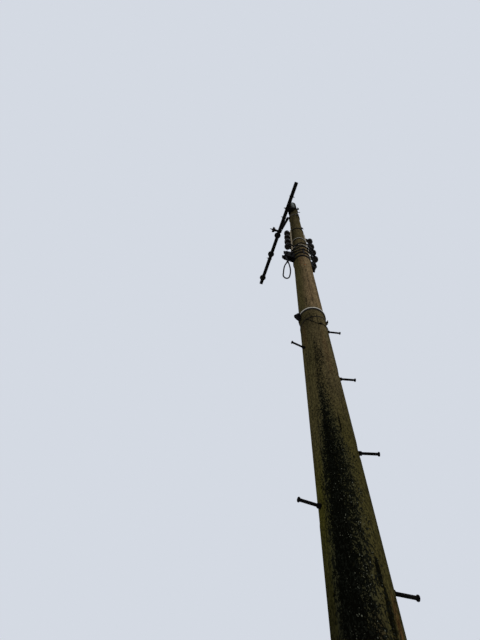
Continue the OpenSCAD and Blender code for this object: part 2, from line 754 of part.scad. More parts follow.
// Jumper cables go from the left rack and clamp round the front of the pole to the right rack and clamp
spool_groove = 21;
groove_wrap = spool_d / 2 + 4 - spool_groove + jumper_d / 2 + 2 * fit_gap;
jumper_off = jumper_d / 2 + ring_off + 2;
left_spool_x = -(pole_r(left_zs[3]) + left_reach);
right_spool_x = [for (z = right_zs) pole_r(z) + right_reach];
left_z = left_zs[3];
left_top = left_clamp_z + clamp_h / 2;
left_grip_x = -(pole_r(left_clamp_z) + clamp_top_x);
right_top = right_clamp_z + clamp_h / 2;
right_grip_x = pole_r(right_clamp_z) + clamp_top_x;
jumper_routes = [
    [
        each [for (a = [60:30:240]) in_groove(left_spool_x, left_z, a)],
        in_groove(left_spool_x, left_z, 262) + [0, -3, -4], [left_spool_x + 30, -66, left_z - 70],
        off_pole(207, left_z - 141, jumper_off + 14), off_pole(224, left_z - 121, jumper_off),
        off_pole(240, left_z - 79, jumper_off), off_pole(260, left_z - 46, jumper_off),
        off_pole(282, left_z - 41, jumper_off), off_pole(302, left_z, jumper_off + 12),
        in_groove(right_spool_x[2], right_zs[2], -100) + [-22, -12, -8],
        each [for (a = [-75:30:105]) in_groove(right_spool_x[2], right_zs[2], a)]
    ],
    [
        [left_grip_x, -12, left_top + fit_gap], [left_grip_x, -16, left_top + 20],
        [left_grip_x + 8, -42, left_top + 46], off_pole(212, left_top + 60, jumper_off + 12),
        off_pole(226, left_top + 90, jumper_off), off_pole(245, left_top + 130, jumper_off),
        off_pole(265, left_top + 145, jumper_off), off_pole(285, left_top + 153, jumper_off),
        off_pole(304, right_zs[3], jumper_off + 10),
        in_groove(right_spool_x[3], right_zs[3], -100) + [-22, -12, 0],
        each [for (a = [-75:30:105]) in_groove(right_spool_x[3], right_zs[3], a)]
    ],
    [
        [left_grip_x, -clamp_w / 2 - clamp_boss_l - fit_gap, left_clamp_z],
        [left_grip_x + 2, -clamp_w / 2 - clamp_boss_l - 14, left_clamp_z],
        off_pole(218, left_clamp_z + 35, jumper_off + 14), off_pole(232, left_clamp_z + 70, jumper_off),
        off_pole(250, left_clamp_z + 92, jumper_off), off_pole(270, left_clamp_z + 95, jumper_off),
        off_pole(288, left_clamp_z + 92, jumper_off), off_pole(306, left_clamp_z + 80, jumper_off + 6),
        off_pole(325, left_clamp_z + 50, jumper_off + 20), [right_grip_x - 4, -34, right_top + 48],
        [right_grip_x, -16, right_top + 18], [right_grip_x, -14, right_top + fit_gap]
    ]
];

module jumper_cable(i)
    color(black_cable) tube(smooth_path(jumper_routes[i], 3), jumper_d, 10);

// The slack loop hangs from the foot of the left clamp and crosses itself once
loop_top = left_clamp_z - clamp_h / 2;
loop_points = [
    [-226, 13, -fit_gap], [-227, 13, -40], [-234, 13, -105], [-247, 12, -170], [-260, 12, -226],
    [-272, 12, -282], [-283, 14, -337], [-291, 19.4, -388], [-295, 29.4, -435], [-295.5, 42.4, -475],
    [-294, 57, -508], [-291.5, 71.5, -534],
    [-290, 86, -556], [-283.4, 100.7, -575.6], [-265.5, 111.5, -589.9], [-241, 115.4, -595.2],
    [-216.5, 111.5, -589.9], [-198.6, 100.7, -575.6], [-192, 86, -556],
    [-190.5, 71.5, -534], [-190, 57, -508], [-191.5, 42.4, -475], [-195.5, 29.4, -435],
    [-202, 18.5, -388], [-209.5, 10.5, -337], [-218.5, 4, -287], [-230, -3, -237], [-245, -11, -175],
    [-258, -13, -105], [-262, -13, -40], [-262, -13, -fit_gap]
];
loop_route = [for (p = loop_points) [p.x, p.y, loop_top + p.z]];

module slack_loop()
    color(black_cable) tube(smooth_path(loop_route, 2), loop_d, 10);

module messenger_band_upper()
    color(steel) {
        pole_ring(messenger_z, strap_h);
        at_pole(messenger_z, -5) band_lug(strap_h, 5, 36);
    }

// Thin strap round the pole, higher on the +X side, where its buckle is
module messenger_band_lower() {
    strap_z = messenger_z - messenger_gap;
    height = 16;
    thick = 2.5;
    buckle_z = strap_z + tan(strap_tilt) * pole_r(strap_z);
    color(dark_steel) {
        intersection() {
            difference() {
                pole_cone(strap_z - foot_d / 2, strap_z + foot_d / 2, fit_gap + thick);
                pole_cone(strap_z - foot_d / 2 - cut, strap_z + foot_d / 2 + cut, fit_gap);
            }
            translate([0, 0, strap_z]) rotate([0, -strap_tilt, 0])
                cube([2 * foot_d, 2 * foot_d, height], center = true);
        }
        at_pole(buckle_z, 0) translate([fit_gap + thick / 2, -16, -15]) cube([12, 32, 30]);
    }
}

// Bracket with an eye, over the messenger band
module messenger_bracket() {
    mid_z = messenger_z - 36;
    plate_l = 190;
    plate_w = 46;
    plate_t = 6;
    web_t = 9;
    web_reach = 62;
    eye_d = 16;
    eye_x = plate_t + 14;
    color(dark_steel)
    on_pole(mid_z, 180) translate([channel_back, 0, 0]) {
        translate([0, -plate_w / 2, -plate_l / 2]) cube([plate_t, plate_w, plate_l]);
        rotate([90, 0, 0]) linear_extrude(web_t, center = true) difference() {
            polygon([
                [cut, -plate_l / 2], [cut, plate_l / 2], [plate_t + 6, plate_l / 2],
                [web_reach * 0.7, plate_l * 0.2], [web_reach, plate_l * 0.05],
                [web_reach, -plate_l * 0.15], [web_reach * 0.6, -plate_l * 0.4],
                [plate_t + 6, -plate_l / 2]
            ]);
            translate([eye_x, -plate_l * 0.08]) circle(d = eye_d);
        }
    }
}

pole_shaft();
pole_cap();
step_bolt(step_right[0], right_turn + right_swerve[0]);  // step_bolt_right_1
step_bolt(step_right[1], right_turn + right_swerve[1]);  // step_bolt_right_2
step_bolt(step_right[2], right_turn + right_swerve[2]);  // step_bolt_right_3
step_bolt(step_right[3], right_turn + right_swerve[3]);  // step_bolt_right_4
step_bolt(step_right[4], right_turn + right_swerve[4]);  // step_bolt_right_5
step_bolt(step_left[0], left_turn + left_swerve[0]);  // step_bolt_left_1
step_bolt(step_left[1], left_turn + left_swerve[1]);  // step_bolt_left_2
step_bolt(step_left[2], left_turn + left_swerve[2]);  // step_bolt_left_3
crossarm();
crossarm_saddle();
crossarm_bolts();
arm_tie();
arm_tie_band();
insulator_pins();
pin_insulator(pin_1_y);  // pin_insulator_1
pin_insulator(pin_2_y);  // pin_insulator_2
pin_insulator(pin_3_y);  // pin_insulator_3
strain_fittings();
strain_insulator();
service_band();
rack(left_zs, left_reach, 180);  // left_rack
left_spool(0);  // left_spool_1
left_spool(1);  // left_spool_2
left_spool(2);  // left_spool_3
left_spool(3);  // left_spool_4
rack(right_zs, right_reach, 0);  // right_rack
right_spool(0);  // right_spool_1
right_spool(1);  // right_spool_2
right_spool(2);  // right_spool_3
right_spool(3);  // right_spool_4
rack_pins();
rack_band(top_band_z, -70);  // rack_band_top
rack_band(middle_band_z, 90);  // rack_band_middle
rack_band(bottom_band_z, 90);  // rack_band_bottom
left_cable_clamp();
right_cable_clamp();
jumper_cable(0);  // jumper_cable_1
jumper_cable(1);  // jumper_cable_2
jumper_cable(2);  // jumper_cable_3
slack_loop();
messenger_band_upper();
messenger_band_lower();
messenger_bracket();
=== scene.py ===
import json
import math
import bpy
from mathutils import Matrix, Vector


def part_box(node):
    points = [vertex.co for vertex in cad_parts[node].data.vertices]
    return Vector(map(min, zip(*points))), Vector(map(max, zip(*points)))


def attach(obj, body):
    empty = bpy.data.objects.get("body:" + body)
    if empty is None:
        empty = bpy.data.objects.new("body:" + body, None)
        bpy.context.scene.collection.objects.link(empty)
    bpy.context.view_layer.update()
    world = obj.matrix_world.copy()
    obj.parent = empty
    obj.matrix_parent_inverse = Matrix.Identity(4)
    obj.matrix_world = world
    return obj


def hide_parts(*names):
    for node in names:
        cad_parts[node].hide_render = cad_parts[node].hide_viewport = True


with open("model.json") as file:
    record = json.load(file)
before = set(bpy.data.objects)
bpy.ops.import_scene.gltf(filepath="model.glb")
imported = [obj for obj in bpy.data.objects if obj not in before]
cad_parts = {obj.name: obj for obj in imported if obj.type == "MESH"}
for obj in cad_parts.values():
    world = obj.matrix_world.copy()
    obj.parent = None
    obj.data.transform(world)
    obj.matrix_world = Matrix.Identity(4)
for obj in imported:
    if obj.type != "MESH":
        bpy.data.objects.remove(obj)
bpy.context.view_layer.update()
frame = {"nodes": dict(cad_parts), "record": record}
nodes = frame["nodes"]
print("frame loaded:", len(nodes), "nodes")

# the pole in metres: its height, its radius at the ground, and how much the radius loses per metre
pole = {
    "height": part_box("pole_shaft")[1].z,
    "footRadius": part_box("pole_shaft")[1].x,
    "taper": 1 / 150,
}


def poleRadius(z):
    return pole["footRadius"] - z * pole["taper"]


# a place on the pole at height z: local +X points straight away from it, turn degrees round
def polePlace(z, turn, off=0.0):
    return Matrix.Rotation(math.radians(turn), 4, "Z") @ Matrix.Translation((poleRadius(z) + off, 0, z))


def polePoint(z, turn, off=0.0):
    return polePlace(z, turn, off).translation


def deselectAll():
    for thing in bpy.context.selected_objects:
        thing.select_set(False)


# small helpers for the materials
def newMaterial(name):
    finish = bpy.data.materials.new(name)
    finish.use_nodes = True
    return finish


# a plain value is set on the socket, and another node's output is linked to it
def feed(finish, socket, value):
    if hasattr(value, "links"):
        finish.node_tree.links.new(value, socket)
    elif socket.type == "RGBA":
        socket.default_value = (*value[:3], 1)
    else:
        socket.default_value = value


# the inputs go by their names, or by number as i0, i1 and so on
def addNode(finish, kind, settings=None, **inputs):
    made = finish.node_tree.nodes.new("ShaderNode" + kind)
    for key, value in (settings or {}).items():
        setattr(made, key, value)
    for key, value in inputs.items():
        numbered = key[0] == "i" and key[1:].isdigit()
        feed(finish, made.inputs[int(key[1:]) if numbered else key], value)
    return made


shaderInputs = {
    "colour": "Base Color",
    "roughness": "Roughness",
    "specular": "Specular IOR Level",
    "normal": "Normal",
}


def setShader(finish, **inputs):
    shader = finish.node_tree.nodes["Principled BSDF"]
    for key, value in inputs.items():
        feed(finish, shader.inputs[shaderInputs[key]], value)


def objectPlace(finish):
    return addNode(finish, "TexCoord").outputs["Object"]


def partsOf(finish, vector):
    return addNode(finish, "SeparateXYZ", i0=vector).outputs


def mathStep(finish, operation, first, second=0.0):
    return addNode(finish, "Math", {"operation": operation}, i0=first, i1=second).outputs[0]


def plus(finish, *values):
    total = values[0]
    for value in values[1:]:
        total = mathStep(finish, "ADD", total, value)
    return total


def minus(finish, first, second):
    return mathStep(finish, "SUBTRACT", first, second)


def times(finish, *values):
    total = values[0]
    for value in values[1:]:
        total = mathStep(finish, "MULTIPLY", total, value)
    return total


def larger(finish, first, second):
    return mathStep(finish, "MAXIMUM", first, second)


def awayFrom(finish, value, middle):
    return mathStep(finish, "ABSOLUTE", minus(finish, value, middle))


def vectorStep(finish, operation, first, second=(0, 0, 0)):
    made = addNode(finish, "VectorMath", {"operation": operation}, i0=first, i1=second)
    return made.outputs["Value" if operation in ("DOT_PRODUCT", "LENGTH", "DISTANCE") else "Vector"]


# a range is two inputs, and the two outputs that they give, 0 and 1 where it names none
def mapStep(finish, value, low, high, toLow=0.0, toHigh=1.0, smooth=True):
    settings = {"interpolation_type": "SMOOTHSTEP" if smooth else "LINEAR"}
    made = addNode(finish, "MapRange", settings, Value=value)
    for key, number in (("From Min", low), ("From Max", high), ("To Min", toLow), ("To Max", toHigh)):
        made.inputs[key].default_value = number
    return made.outputs[0]


def straightStep(finish, value, low, high, toLow=0.0, toHigh=1.0):
    return mapStep(finish, value, low, high, toLow, toHigh, False)


# a noise turned into a value that sways between minus reach and reach
def sway(finish, noise, reach, spread=0.2):
    return straightStep(finish, noise, 0.5 - spread, 0.5 + spread, -reach, reach)


# a pattern's place, drawn out along Z where rise is small
def stretched(finish, place, rise):
    return addNode(finish, "Mapping", Vector=place, Scale=(1, 1, rise)).outputs[0]


def noiseOf(finish, place, size, rise, detail, rough):
    moved = stretched(finish, place, rise)
    return addNode(finish, "TexNoise", Vector=moved, Scale=size, Detail=detail, Roughness=rough).outputs[0]


def cellsOf(finish, place, size, rise=1.0):
    moved = stretched(finish, place, rise)
    return addNode(finish, "TexVoronoi", Vector=moved, Scale=size).outputs["Distance"]


def mixColours(finish, share, first, second, blend="MIX"):
    settings = {"data_type": "RGBA", "blend_type": blend, "clamp_factor": True}
    return addNode(finish, "Mix", settings, i0=share, i6=first, i7=second).outputs[2]


def bumpOf(finish, height, depth, strength):
    return addNode(finish, "Bump", Height=height, Strength=strength, Distance=depth).outputs[0]


# the share of a surface by how far it faces up: 1 is straight up and -1 straight down
def slopeShare(finish, low, high):
    way = addNode(finish, "NewGeometry").outputs["Normal"]
    return mapStep(finish, partsOf(finish, way)[2], low, high)


# the camera stands beside the pole at eye height and looks steeply up, with a small roll
cameraSet = {
    "place": (-1.051, -1.817, 1.5),
    "heading": (0.1323, 0.9912, 0.0),
    "elevation": 62.776,
    "roll": 10.211,
    "lens": 22.5,
    "sensor": 36.0,
    "farEnd": 200,
}


def addCamera():
    heading = Vector(cameraSet["heading"]).normalized()
    side = Vector((heading.y, -heading.x, 0))
    tilt = math.radians(cameraSet["elevation"])
    turn = math.radians(cameraSet["roll"])
    look = heading * math.cos(tilt) + Vector((0, 0, math.sin(tilt)))
    top = Vector((0, 0, math.cos(tilt))) - heading * math.sin(tilt)
    right = side * math.cos(turn) + top * math.sin(turn)
    up = top * math.cos(turn) - side * math.sin(turn)
    bpy.ops.object.camera_add(location=cameraSet["place"])
    camera = bpy.context.object
    camera.rotation_euler = Matrix((right, up, -look)).transposed().to_euler()
    camera.data.lens = cameraSet["lens"]
    camera.data.sensor_width = cameraSet["sensor"]
    camera.data.clip_end = cameraSet["farEnd"]
    bpy.context.scene.camera = camera


# a wide pale floor, an even pale sky and one soft lamp on the right
stageSet = {
    "floorSize": 120,
    "floorDrop": 0.002,
    "floorColour": (0.62, 0.62, 0.60),
    "floorRoughness": 0.9,
    "skyColour": (0.66, 0.70, 0.77),
    "skyLight": 0.72,
    "lampPlace": (8, -6, 16),
    "lampPower": 1.5,
    "lampTurn": (math.radians(52), 0, math.radians(58)),
    "lampSoftness": math.radians(25),
}


def addFloor():
    deselectAll()
    bpy.ops.mesh.primitive_plane_add(size=stageSet["floorSize"], location=(0, 0, -stageSet["floorDrop"]))
    floor = bpy.context.object
    floor.name = "floor"
    finish = newMaterial("paleFloor")
    setShader(finish, colour=stageSet["floorColour"], roughness=stageSet["floorRoughness"])
    floor.data.materials.append(finish)


# the sky that is seen is pale, and the sky that lights the pole is white and weaker
def addSky():
    world = bpy.data.worlds.new("sky")
    bpy.context.scene.world = world
    world.use_nodes = True
    world.node_tree.nodes.clear()
    path = addNode(world, "LightPath")
    seen = addNode(world, "Background", Color=stageSet["skyColour"])
    lit = addNode(world, "Background", Color=(1, 1, 1), Strength=stageSet["skyLight"])
    seenRay = larger(world, path.outputs["Is Camera Ray"], path.outputs["Is Glossy Ray"])
    seenRay = larger(world, seenRay, path.outputs["Is Transmission Ray"])
    mix = addNode(world, "MixShader", i0=seenRay, i1=lit.outputs[0], i2=seen.outputs[0])
    addNode(world, "OutputWorld", i0=mix.outputs[0])


def addLamp():
    bpy.ops.object.light_add(type="SUN", rotation=stageSet["lampTurn"], location=stageSet["lampPlace"])
    lamp = bpy.context.object
    lamp.data.energy = stageSet["lampPower"]
    lamp.data.angle = stageSet["lampSoftness"]


addCamera()
addFloor()
addSky()
addLamp()
bpy.context.scene.view_settings.view_transform = "Standard"
print("camera, floor and light in place")


# stained concrete with painted light and shade: its tones, then the heights in metres at which they follow
# each other on the shaded and the lit side, the lit side painted lighter. Turns are degrees round the pole
# from +X. A noise is its size, its rise, its detail and its roughness. A patch is its turn, height, half
# width in degrees, half height in metres and strength
concreteSet = {
    "wet": (0.018, 0.017, 0.006),
    "moss": (0.050, 0.047, 0.010),
    "olive": (0.060, 0.051, 0.021),
    "umber": (0.040, 0.033, 0.016),
    "mud": (0.043, 0.037, 0.012),
    "dust": (0.076, 0.060, 0.029),
    "sand": (0.155, 0.111, 0.060),
    "sootAndShade": (0.012, 0.011, 0.006),
    "black": (0.0012, 0.0013, 0.0009),
    "brown": (0.085, 0.034, 0.014),
    "speck": (0.120, 0.125, 0.092),
    "dullSpeck": (0.0075, 0.0085, 0.0065),
    "grey": (0.027, 0.029, 0.019),
    "topPatch": (0.150, 0.168, 0.170),
    "rust": (0.20, 0.060, 0.018),
    "shadedSide": (
        (0.0, "umber"), (1.6, "umber"), (2.45, "wet"), (3.1, "moss"), (3.8, "olive"), (4.8, "olive"),
        (5.3, "umber"), (5.7, "olive"), (7.4, "olive"), (8.6, "umber"),
    ),
    "litSide": (
        (0.0, "umber"), (0.7, "dust"), (2.45, "mud"), (3.5, "mud"), (4.4, "dust"), (5.5, "dust"),
        (5.75, "sand"), (7.6, "sand"), (8.6, "dust"), (9.9, "dust"), (10.8, "umber"),
    ),
    "litTurn": 302,
    "sideBlend": (-0.10, 0.88),
    "sideSway": 0.2,
    "toneSway": 0.15,
    # farSide is painted shade that takes back some of the lamp's light on that side
    "farSide": (288.0, 312.0, 0.0, 0.32),  # a range of turns that is darker, below the heights of farSideTop
    "farSideTop": (7.2, 6.4),
    "broadNoise": (3.2, 0.30, 3, 0.55),
    "streakNoise": (34.0, 0.040, 4, 0.62),
    "runNoise": (90.0, 0.06, 3, 0.6),
    "grainNoise": (50.0, 0.55, 4, 0.72),
    "dotNoise": (110.0, 0.62, 2, 0.75),
    "fineNoise": (320.0, 1.0, 2, 0.7),
    "dotSpread": 0.12,
    "lumpSpread": 0.14,
    "dotShare": 0.30,
    "lumpShare": 0.18,
    "roughTone": (-0.48, 0.48, 1.66, 0.16),
    "streakSoot": (0.48, 0.66, 0.0, 0.45),
    "runSoot": (0.50, 0.64, 0.0, 0.42),
    "patchEdge": (1.15, 0.45),
    "brownPatches": (
        (258, 6.15, 18, 0.45, 0.14), (274, 4.75, 14, 0.50, 0.20), (300, 2.48, 9, 0.16, 0.45),
        (256, 2.42, 14, 0.10, 0.30), (234, 7.35, 20, 0.30, 0.35), (196, 5.05, 14, 0.30, 0.20),
    ),
    "brownGrain": (0.35, 0.6, 0.3, 1.2),
    "growthLeft": (
        (2.35, 198), (2.75, 200), (2.9, 202), (3.05, 205), (3.24, 207), (3.45, 211), (3.68, 215), (3.8, 220),
        (4.0, 224),
    ),
    "growthRight": (
        (229, 1.10), (238, 0.94), (243, 0.84), (257, 0.70), (271, 0.48), (286, 0.32), (304, 0.05),
    ),
    "growthTop": ((3.40, 0.0), (3.68, 0.18), (3.95, 0.36), (4.10, 0.46), (4.35, 1.10)),
    "growthSway": 5.0,
    "growthEdge": (-16.0, 12.0, 0.0, 1.05),
    "growthGrey": (0.30, 0.75, 0.0, 0.65),
    "growthBlack": (0.43, 0.63, 0.0, 0.97),
    # dark patches: most are black growth; those at 5.42 m, 8.85 m and 10.95 m are painted shade under the
    # band and strap, under the rack and beside the arm
    "growthAndShadePatches": (
        (228, 4.18, 7, 0.34, 0.66), (250, 4.58, 12, 0.26, 0.62), (236, 4.50, 15, 0.60, 0.66),
        (248, 4.15, 19, 0.38, 0.40), (265.5, 3.70, 3.4, 0.13, 0.95), (229, 5.85, 7, 0.20, 0.60),
        (280, 2.69, 6.5, 0.10, 1.25), (284, 2.50, 8.0, 0.19, 1.00), (198, 8.85, 16, 0.45, 0.50),
        (192.5, 3.9, 3.0, 2.2, 0.50), (214, 2.38, 34, 0.16, 0.80), (190, 10.95, 28, 0.55, 0.85),
        (222, 5.42, 62, 0.15, 0.46), (258, 2.44, 22, 0.10, 0.60),
    ),
    "looseRough": 0.75,
    "looseAndShadeBlack": (0.24, 0.92, 0.0, 0.96),
    "blackSpecks": (0.1, 1.0, 0.0, 0.8),
    "speckCells": (100.0, 0.80),
    "speckTurn": 252.0,
    "speckReach": (44.0, 14.0),
    "speckTop": (3.9, 3.1, 0.0, 0.85),
    "speckSize": (-0.5, 1.0, -0.02, 0.36),
    "speckEdge": (0.0, 0.08),
    "rustSpot": (7.126, 258),
    "rustReach": (0.020, 0.006),
    # the top keys place soot and painted shade round the upper bands, and painted shade up to the top beside
    # the arm
    "topTurn": 253,
    "topFoot": ((242, 10.93), (258, 11.08), (286, 11.26)),
    "topEdge": (
        (110, 11.50), (182, 12.3), (206, 12.3), (218, 11.52), (272, 11.47), (292, 11.68), (330, 11.50),
    ),
    "topSway": 0.04,
    "topSpread": 0.15,
    "topUnder": (0.0, 0.06),
    "topOver": (-0.05, 0.05),
    "topStart": (11.3, 11.4),
    "topStreaks": (0.40, 0.54),
    "topNarrow": (30.0, 14.0),
    "topStained": (84.0, 62.0),
    "topSootAndShade": 0.93,
    "roughness": (0.3, 0.7, 0.82, 0.98),
    "specular": 0.0,
    "pitCells": 150.0,
    "pitEdge": (0.0, 0.35),
    "reliefShares": (0.5, 0.8, 0.35),
    "reliefDepth": 0.003,
    "reliefStrength": 0.8,
}


# how far round the pole a point is, in degrees from +X
def turnOf(finish, parts):
    away = mathStep(finish, "ARCTAN2", times(finish, parts[1], -1.0), times(finish, parts[0], -1.0))
    return plus(finish, times(finish, away, 180 / math.pi), 180.0)


def levelOf(finish, parts):
    return addNode(finish, "CombineXYZ", i0=parts[0], i1=parts[1]).outputs[0]


# a value that follows (input, output) pairs in straight runs
def ramped(finish, value, pairs):
    total = float(pairs[0][1])
    for (a, low), (b, high) in zip(pairs, pairs[1:]):
        total = plus(finish, straightStep(finish, value, a, b, 0.0, high - low), total)
    return total


# the tones that follow each other up the pole
def toneRamp(finish, height, stops):
    last, tone = stops[0]
    base = concreteSet[tone]
    for level, tone in stops[1:]:
        base = mixColours(finish, mapStep(finish, height, last, level), base, concreteSet[tone])
        last = level
    return base


def facing(finish, flat, turn):
    way = (math.cos(math.radians(turn)), math.sin(math.radians(turn)), 0)
    return vectorStep(finish, "DOT_PRODUCT", flat, way)


# the strongest of some soft oval patches on the unrolled surface
def patchesOf(finish, unrolled, patches):
    total = 0.0
    for turn, height, halfTurn, halfHeight, strength in patches:
        moved = vectorStep(finish, "SUBTRACT", unrolled, (turn, height, 0))
        scaled = vectorStep(finish, "DIVIDE", moved, (halfTurn, halfHeight, 1))
        far = vectorStep(finish, "LENGTH", scaled)
        total = larger(finish, mapStep(finish, far, *concreteSet["patchEdge"], 0.0, strength), total)
    return total


def concreteFinish():
    c = concreteSet
    finish = newMaterial("stainedAndShadedConcrete")
    place = objectPlace(finish)
    parts = partsOf(finish, place)
    height = parts[2]
    turn = turnOf(finish, parts)
    flat = vectorStep(finish, "NORMALIZE", levelOf(finish, parts))
    unrolled = addNode(finish, "CombineXYZ", i0=turn, i1=height).outputs[0]

    noises = ("broadNoise", "streakNoise", "runNoise", "grainNoise", "dotNoise", "fineNoise")
    broad, streaks, runs, grain, dot, fine = [noiseOf(finish, place, *c[name]) for name in noises]
    dots = sway(finish, dot, 1.0, c["dotSpread"])
    lumps = sway(finish, grain, 1.0, c["lumpSpread"])
    rough = plus(finish, times(finish, dots, c["dotShare"]), times(finish, lumps, c["lumpShare"]))

    # the ground colour by height, with painted light: lighter on the lit side and darker on the shaded side
    side = plus(finish, facing(finish, flat, c["litTurn"]), sway(finish, broad, c["sideSway"]))
    side = mapStep(finish, side, *c["sideBlend"])
    ragged = plus(finish, height, sway(finish, streaks, c["toneSway"]))
    shaded = toneRamp(finish, ragged, c["shadedSide"])
    base = mixColours(finish, side, shaded, toneRamp(finish, ragged, c["litSide"]))
    # painted shade: a range of turns darkened towards the soot and shade tone, below farSideTop
    far = times(finish, mapStep(finish, turn, *c["farSide"]), mapStep(finish, height, *c["farSideTop"]))
    base = mixColours(finish, far, base, c["sootAndShade"])

    # brown patches, fine runs and grain
    brown = patchesOf(finish, unrolled, c["brownPatches"])
    brown = times(finish, brown, mapStep(finish, grain, *c["brownGrain"]))
    base = mixColours(finish, brown, base, c["brown"])
    base = mixColours(finish, mapStep(finish, streaks, *c["streakSoot"]), base, c["sootAndShade"])
    base = mixColours(finish, mapStep(finish, runs, *c["runSoot"]), base, c["sootAndShade"])
    base = mixColours(finish, 1.0, base, straightStep(finish, rough, *c["roughTone"]), "MULTIPLY")

    # black growth, solid in the streak, speckled beside it and loose above it; the loose part also carries
    # painted shade from the dark patches
    wander = plus(finish, turn, sway(finish, streaks, c["growthSway"]))
    left = minus(finish, wander, ramped(finish, height, c["growthLeft"]))
    left = straightStep(finish, left, *c["growthEdge"])
    right = minus(finish, ramped(finish, wander, c["growthRight"]), ramped(finish, height, c["growthTop"]))
    growth = mathStep(finish, "MINIMUM", left, right)
    looseAndShade = plus(finish, patchesOf(finish, unrolled, c["growthAndShadePatches"]), times(finish, rough, c["looseRough"]))
    base = mixColours(finish, mapStep(finish, growth, *c["growthGrey"]), base, c["grey"])
    share = mapStep(finish, plus(finish, growth, rough), *c["growthBlack"])
    share = larger(finish, share, mapStep(finish, looseAndShade, *c["looseAndShadeBlack"]))
    black = mixColours(finish, mapStep(finish, dots, *c["blackSpecks"]), c["black"], c["dullSpeck"])
    base = mixColours(finish, share, base, black)

    # pale specks in the growth right of the streak, and one rust spot
    cells = cellsOf(finish, place, *c["speckCells"])
    beside = mapStep(finish, awayFrom(finish, turn, c["speckTurn"]), *c["speckReach"])
    pale = times(finish, beside, mapStep(finish, height, *c["speckTop"]))
    limit = straightStep(finish, lumps, *c["speckSize"])
    inside = mapStep(finish, minus(finish, limit, cells), *c["speckEdge"])
    base = mixColours(finish, times(finish, pale, inside), base, c["speck"])
    spot = vectorStep(finish, "DISTANCE", place, polePoint(*c["rustSpot"]))
    base = mixColours(finish, mapStep(finish, spot, *c["rustReach"]), base, c["rust"])

    # soot and painted shade round the upper bands and up the side beside the arm, and a pale streaked patch
    # above them
    topHeight = plus(finish, height, sway(finish, runs, c["topSway"], c["topSpread"]))
    topAway = awayFrom(finish, turn, c["topTurn"])
    under = mapStep(finish, minus(finish, ramped(finish, turn, c["topEdge"]), topHeight), *c["topUnder"])
    over = mapStep(finish, minus(finish, topHeight, ramped(finish, turn, c["topFoot"])), *c["topOver"])
    narrow = times(finish, mapStep(finish, runs, *c["topStreaks"]), mapStep(finish, topAway, *c["topNarrow"]))
    patch = mixColours(finish, narrow, c["sootAndShade"], c["topPatch"])
    sootShadeAndPatchArea = mapStep(finish, topAway, *c["topStained"])
    sootShadeAndPatchArea = times(finish, mapStep(finish, topHeight, *c["topStart"]), sootShadeAndPatchArea)
    base = mixColours(finish, sootShadeAndPatchArea, base, patch)
    base = mixColours(finish, times(finish, under, over, c["topSootAndShade"]), base, c["black"])

    pits = mapStep(finish, cellsOf(finish, place, c["pitCells"]), *c["pitEdge"])
    shares = zip((fine, grain, pits), c["reliefShares"])
    relief = plus(finish, *[times(finish, pattern, share) for pattern, share in shares])
    roughness = straightStep(finish, grain, *c["roughness"])
    bumps = bumpOf(finish, relief, c["reliefDepth"], c["reliefStrength"])
    setShader(finish, colour=base, roughness=roughness, specular=c["specular"], normal=bumps)
    return finish


# how far a point stands off the pole's surface, in metres
def offPole(finish, parts):
    far = vectorStep(finish, "LENGTH", levelOf(finish, parts))
    topRadius = poleRadius(pole["height"])
    surface = straightStep(finish, parts[2], 0.0, pole["height"], pole["footRadius"], topRadius)
    return minus(finish, far, surface)


# dull zinc: tan-grey with grime, with painted shade where it faces down and where it stands off the pole by
# its reach.
# A pale band also has painted shade below its split, the height where the light stops
zincSet = {
    "pale": (0.40, 0.38, 0.32),
    "worn": 0.72,
    "tan": (0.20, 0.15, 0.095),
    "brown": (0.08, 0.048, 0.026),
    "shade": (0.005, 0.005, 0.0045),
    "shadeShare": 0.97,
    "spangleCells": 60.0,
    "softNoise": (12.0, 0.5, 4, 0.55),
    "grimeNoise": (45.0, 0.15, 4, 0.6),
    "spangles": (0.1, 0.6, 0.0, 0.5),
    "tanShare": (0.45, 0.7, 0.0, 0.6),
    "brownShare": (0.52, 0.75, 0.0, 0.75),
    "facesDown": (0.15, -0.45),
    "reach": 0.038,
    "reachEdge": 0.005,
    "splitEdge": 0.003,
    "splitSway": 0.004,
    "roughness": (0.3, 0.7, 0.5, 0.75),
    "specular": 0.08,
    "reliefDepth": 0.0006,
    "reliefStrength": 0.5,
}


def zincFinish(name, pale=zincSet["pale"], split=None, reach=zincSet["reach"]):
    c = zincSet
    finish = newMaterial(name)
    place = objectPlace(finish)
    parts = partsOf(finish, place)
    spangle = cellsOf(finish, place, c["spangleCells"])
    soft = noiseOf(finish, place, *c["softNoise"])
    grime = noiseOf(finish, place, *c["grimeNoise"])
    worn = tuple(value * c["worn"] for value in pale)
    base = mixColours(finish, mapStep(finish, spangle, *c["spangles"]), worn, pale)
    base = mixColours(finish, mapStep(finish, soft, *c["tanShare"]), base, c["tan"])
    base = mixColours(finish, mapStep(finish, grime, *c["brownShare"]), base, c["brown"])
    # painted shade: undersides, what stands off the pole and the part below a band's split go to the shade
    # colour
    outside = mapStep(finish, offPole(finish, parts), reach, reach + c["reachEdge"])
    dark = larger(finish, slopeShare(finish, *c["facesDown"]), outside)
    if split:
        edge = plus(finish, parts[2], sway(finish, grime, c["splitSway"]))
        below = mapStep(finish, edge, split + c["splitEdge"], split - c["splitEdge"])
        dark = larger(finish, dark, below)
    base = mixColours(finish, times(finish, dark, c["shadeShare"]), base, c["shade"])
    roughness = straightStep(finish, soft, *c["roughness"])
    bumps = bumpOf(finish, grime, c["reliefDepth"], c["reliefStrength"])
    setShader(finish, colour=base, roughness=roughness, specular=c["specular"], normal=bumps)
    return finish


